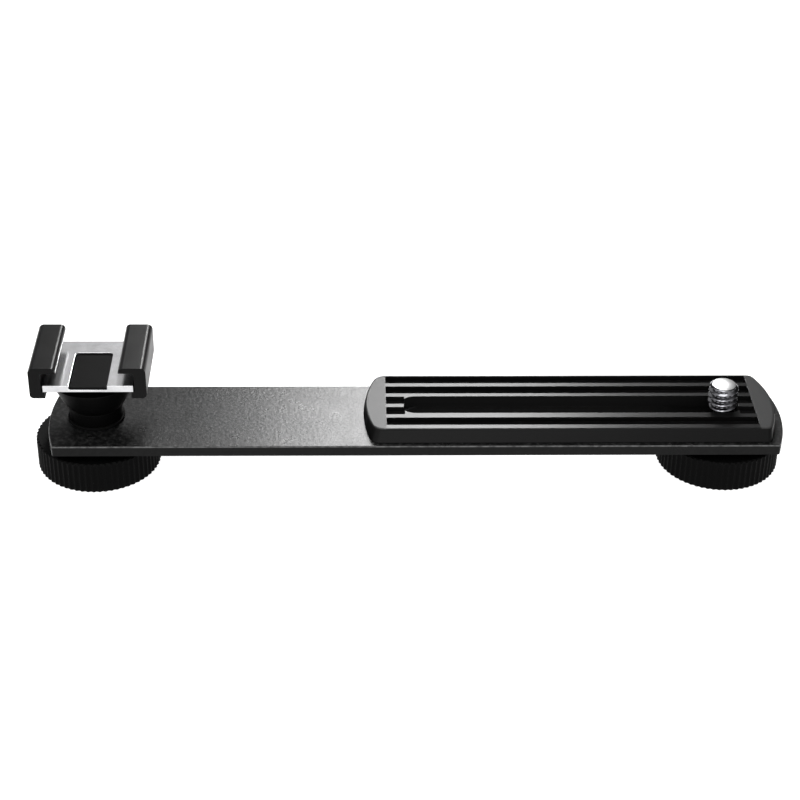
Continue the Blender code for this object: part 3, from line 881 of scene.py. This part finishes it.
def shoe_section(half_width, bottom, top, web_top):
    """Cross-section of the shoe: a floor web, two walls and two top flanges."""
    tip = 1.0
    right = [(half_width, bottom, 0.9), (half_width, top, 1.15)]
    right += [(x, z, 0.0) for x, z in arc(FLANGE_INNER + tip, top - tip, tip, 90.0, 180.0, 8)]
    right += [(FLANGE_INNER, FLANGE_UNDER, 0.1), (WALL_INNER, FLANGE_UNDER, 0.4),
              (WALL_INNER, web_top, 0.25)]
    left = [(-x, z, radius) for x, z, radius in reversed(right)]
    return rounded(right + left, steps=6)


def bolt_clearance(top):
    """Cutter for the shoe bolt: its shank's hole, the countersink and room for the head."""
    bolt_high = limits("shoe_bolt")[1].z
    head = 3.7
    return turned("bolt_clearance",
                  [(0.0, top), (head, top), (head, bolt_high), (BOLT_HOLE_RADIUS, bolt_high - 0.9),
                   (BOLT_HOLE_RADIUS, SHOE_LOW.z - 1.0), (0.0, SHOE_LOW.z - 1.0)],
                  (SHOE_X, 0.0), 64)


def make_shoe():
    plate_low, plate_high = limits("shoe_plate")
    web_top = plate_low.z - SEAT
    half_width = (SHOE_HIGH.x - SHOE_LOW.x) / 2
    front, back = SHOE_LOW.y, SHOE_HIGH.y
    body = slab("shoe_body_detail", [shoe_section(half_width, SHOE_LOW.z, SHOE_HIGH.z, web_top)],
                front, back)
    for vert in body.data.vertices:         # the section was drawn flat: turn its length to Y
        x, z, along = vert.co
        vert.co = (x + SHOE_X * MM, -along, z)
    bm = bmesh.new()
    bm.from_mesh(body.data)
    bmesh.ops.recalc_face_normals(bm, faces=bm.faces)
    bm.to_mesh(body.data)
    bm.free()
    cut(body, blocks("web_setback", [((SHOE_X - LIP_INNER, front - 1.0, SHOE_LOW.z - 1.0),
                                      (SHOE_X + LIP_INNER, front + WEB_SETBACK, web_top + 0.1))]),
        bolt_clearance(plate_high.z))
    round_chosen(body, 0.8, 5, lambda x, y, z: abs(x - SHOE_X) > half_width - 0.01
                 and min(abs(y - front), abs(y - back)) < 0.01)
    round_edges(body, 0.35, 3, 50.0)
    dress(body, "shoe_body", SHOE_FINISH)


def make_shoe_plate():
    """The bright plate with its pocket, and the black insert in the pocket."""
    low, high = limits("shoe_plate")
    pocket_floor = low.z + 0.55
    plate = blocks("shoe_plate_detail", [(low, high)])
    left, right = SHOE_X - POCKET_HALF_WIDTH, SHOE_X + POCKET_HALF_WIDTH
    outline = rounded([(left, low.y - 1.0), (right, low.y - 1.0), (right, POCKET_BACK, 0.9),
                       (left, POCKET_BACK, 0.9)])
    cut(plate, slab("pocket", [outline], pocket_floor, high.z + 1.0), bolt_clearance(high.z))
    round_edges(plate, 0.08, 3, 50.0)
    dress(plate, "shoe_plate", PLATE_FINISH)

    low, high = limits("shoe_insert")
    gap = 0.08
    left, right, rear = left + gap, right - gap, POCKET_BACK - gap
    outline = rounded([(left, low.y + 0.02), (right, low.y + 0.02), (right, rear, 0.85),
                       (left, rear, 0.85)])
    insert = slab("shoe_insert_detail", [outline], pocket_floor + SEAT, high.z)
    round_edges(insert, 0.12, 3, 50.0)
    dress(insert, "shoe_insert", INSERT_FINISH)


# --- floor, light and camera ---------------------------------------------------------------
FLOOR_HALF_SIZE = 4.0           # metres
FLOOR_DROP = 0.00004            # metres below the knobs' undersides
WALL_RADIUS = 3.9               # metres
WALL_HEIGHT = 8.0               # metres, half of it below the floor
PAPER_GLOW = 0.96               # emission strength


def make_floor():
    """Pale paper floor, and a pale wall around it that only the camera sees."""
    bm = bmesh.new()
    bmesh.ops.create_grid(bm, x_segments=1, y_segments=1, size=FLOOR_HALF_SIZE)
    floor = mesh_object("floor", bm)
    floor.location.z = -FLOOR_DROP
    paint = Finish("floor_paper", grey(0.3), 0.9, 0.0, 0.1)
    paint.bump(paint.noise(3.0, 2.0), 0.01, 0.2)
    paint.shader.inputs["Emission Color"].default_value = (1.0, 1.0, 1.0, 1.0)
    paint.shader.inputs["Emission Strength"].default_value = PAPER_GLOW
    floor.data.materials.append(paint.material)

    bm = bmesh.new()
    bmesh.ops.create_cone(bm, cap_ends=False, segments=64, radius1=WALL_RADIUS,
                          radius2=WALL_RADIUS, depth=WALL_HEIGHT)
    wall = mesh_object("backdrop", bm)
    wall.visible_diffuse = wall.visible_glossy = False
    wall.visible_transmission = wall.visible_shadow = False
    wall.data.materials.append(paint.material)


def area_light(name, place, target, size, radiance):
    """Rectangular softbox seen at the given radiance; places and sizes are in metres."""
    light = bpy.data.lights.new(name, "AREA")
    light.shape = "RECTANGLE"
    light.size, light.size_y = size
    light.energy = radiance * math.pi * size[0] * size[1]
    obj = bpy.data.objects.new(name, light)
    obj.location = place
    obj.rotation_euler = (Vector(target) - Vector(place)).to_track_quat("-Z", "Y").to_euler()
    bpy.context.scene.collection.objects.link(obj)


# Bright zones of the world: direction, cosine where a zone starts and where it is full, strength.
WORLD_ZONES = (((-0.4, -0.5, 0.75), 0.35, 0.85, 0.85),      # ceiling, towards the left front
               ((-0.1, 0.82, 0.56), 0.84, 0.93, 0.62),      # grey panel behind the object
               ((0.0, -1.0, 0.25), -0.2, 0.6, 0.7))         # pale room on the front side
WORLD_BASE = 0.04


def make_world():
    """Dim studio with the bright zones above; each is added to the sum of those before it."""
    world = bpy.data.worlds.new("studio")
    world.use_nodes = True
    bpy.context.scene.world = world
    nodes, links = world.node_tree.nodes, world.node_tree.links
    place = nodes.new("ShaderNodeTexCoord").outputs["Generated"]
    total = None
    for towards, start, full, strength in WORLD_ZONES:
        dot = nodes.new("ShaderNodeVectorMath")
        dot.operation = "DOT_PRODUCT"
        dot.inputs[1].default_value = Vector(towards).normalized()
        spread = nodes.new("ShaderNodeMapRange")
        spread.interpolation_type = "SMOOTHSTEP"
        spread.inputs["From Min"].default_value = start
        spread.inputs["From Max"].default_value = full
        spread.inputs["To Max"].default_value = strength
        add = nodes.new("ShaderNodeMath")
        add.inputs[1].default_value = WORLD_BASE
        links.new(place, dot.inputs[0])
        links.new(dot.outputs["Value"], spread.inputs["Value"])
        links.new(spread.outputs["Result"], add.inputs[0])
        if total:
            links.new(total, add.inputs[1])
        total = add.outputs["Value"]
    links.new(total, nodes["Background"].inputs["Strength"])
    nodes["Background"].inputs["Color"].default_value = (1.0, 1.0, 1.0, 1.0)


def make_lights():
    area_light("back_softbox", (0.026, 0.40, 0.33), (0.0, 0.0, 0.01), (0.125, 0.16), 56.0)
    area_light("front_panel", (-0.08, -0.5, 0.17), (0.0, 0.0, 0.01), (0.40, 0.12), 2.6)
    area_light("overhead_panel", (-0.08, -0.15, 1.0), (0.0, 0.0, 0.0), (0.55, 0.6), 4.5)
    make_world()


CAMERA_PLACE = Vector((-13.606, -342.2, 233.62))
CAMERA_TARGET = Vector((-2.229, 0.0, 14.81))
CAMERA_ROLL = 0.923             # degrees
CAMERA_LENS = 85.73


def make_camera():
    camera = bpy.data.cameras.new("camera")
    camera.lens = CAMERA_LENS
    camera.sensor_width = 36.0
    camera.clip_start = 0.01
    obj = bpy.data.objects.new("camera", camera)
    obj.location = CAMERA_PLACE * MM
    aim = (CAMERA_TARGET - CAMERA_PLACE).to_track_quat("-Z", "Y")
    obj.rotation_mode = "QUATERNION"
    obj.rotation_quaternion = aim @ Quaternion((0.0, 0.0, 1.0), math.radians(CAMERA_ROLL))
    bpy.context.scene.collection.objects.link(obj)
    bpy.context.scene.camera = obj


def main():
    make_camera()
    make_bar()
    make_pad()
    make_pad_screws()
    make_camera_screw()
    make_camera_knob()
    make_camera_socket()
    make_shoe_knob()
    make_nut()
    make_washers()
    make_stem()
    make_shoe()
    make_shoe_plate()
    make_floor()
    make_lights()
    bpy.context.scene.view_settings.view_transform = "Standard"


main()
bpy.context.view_layer.update()
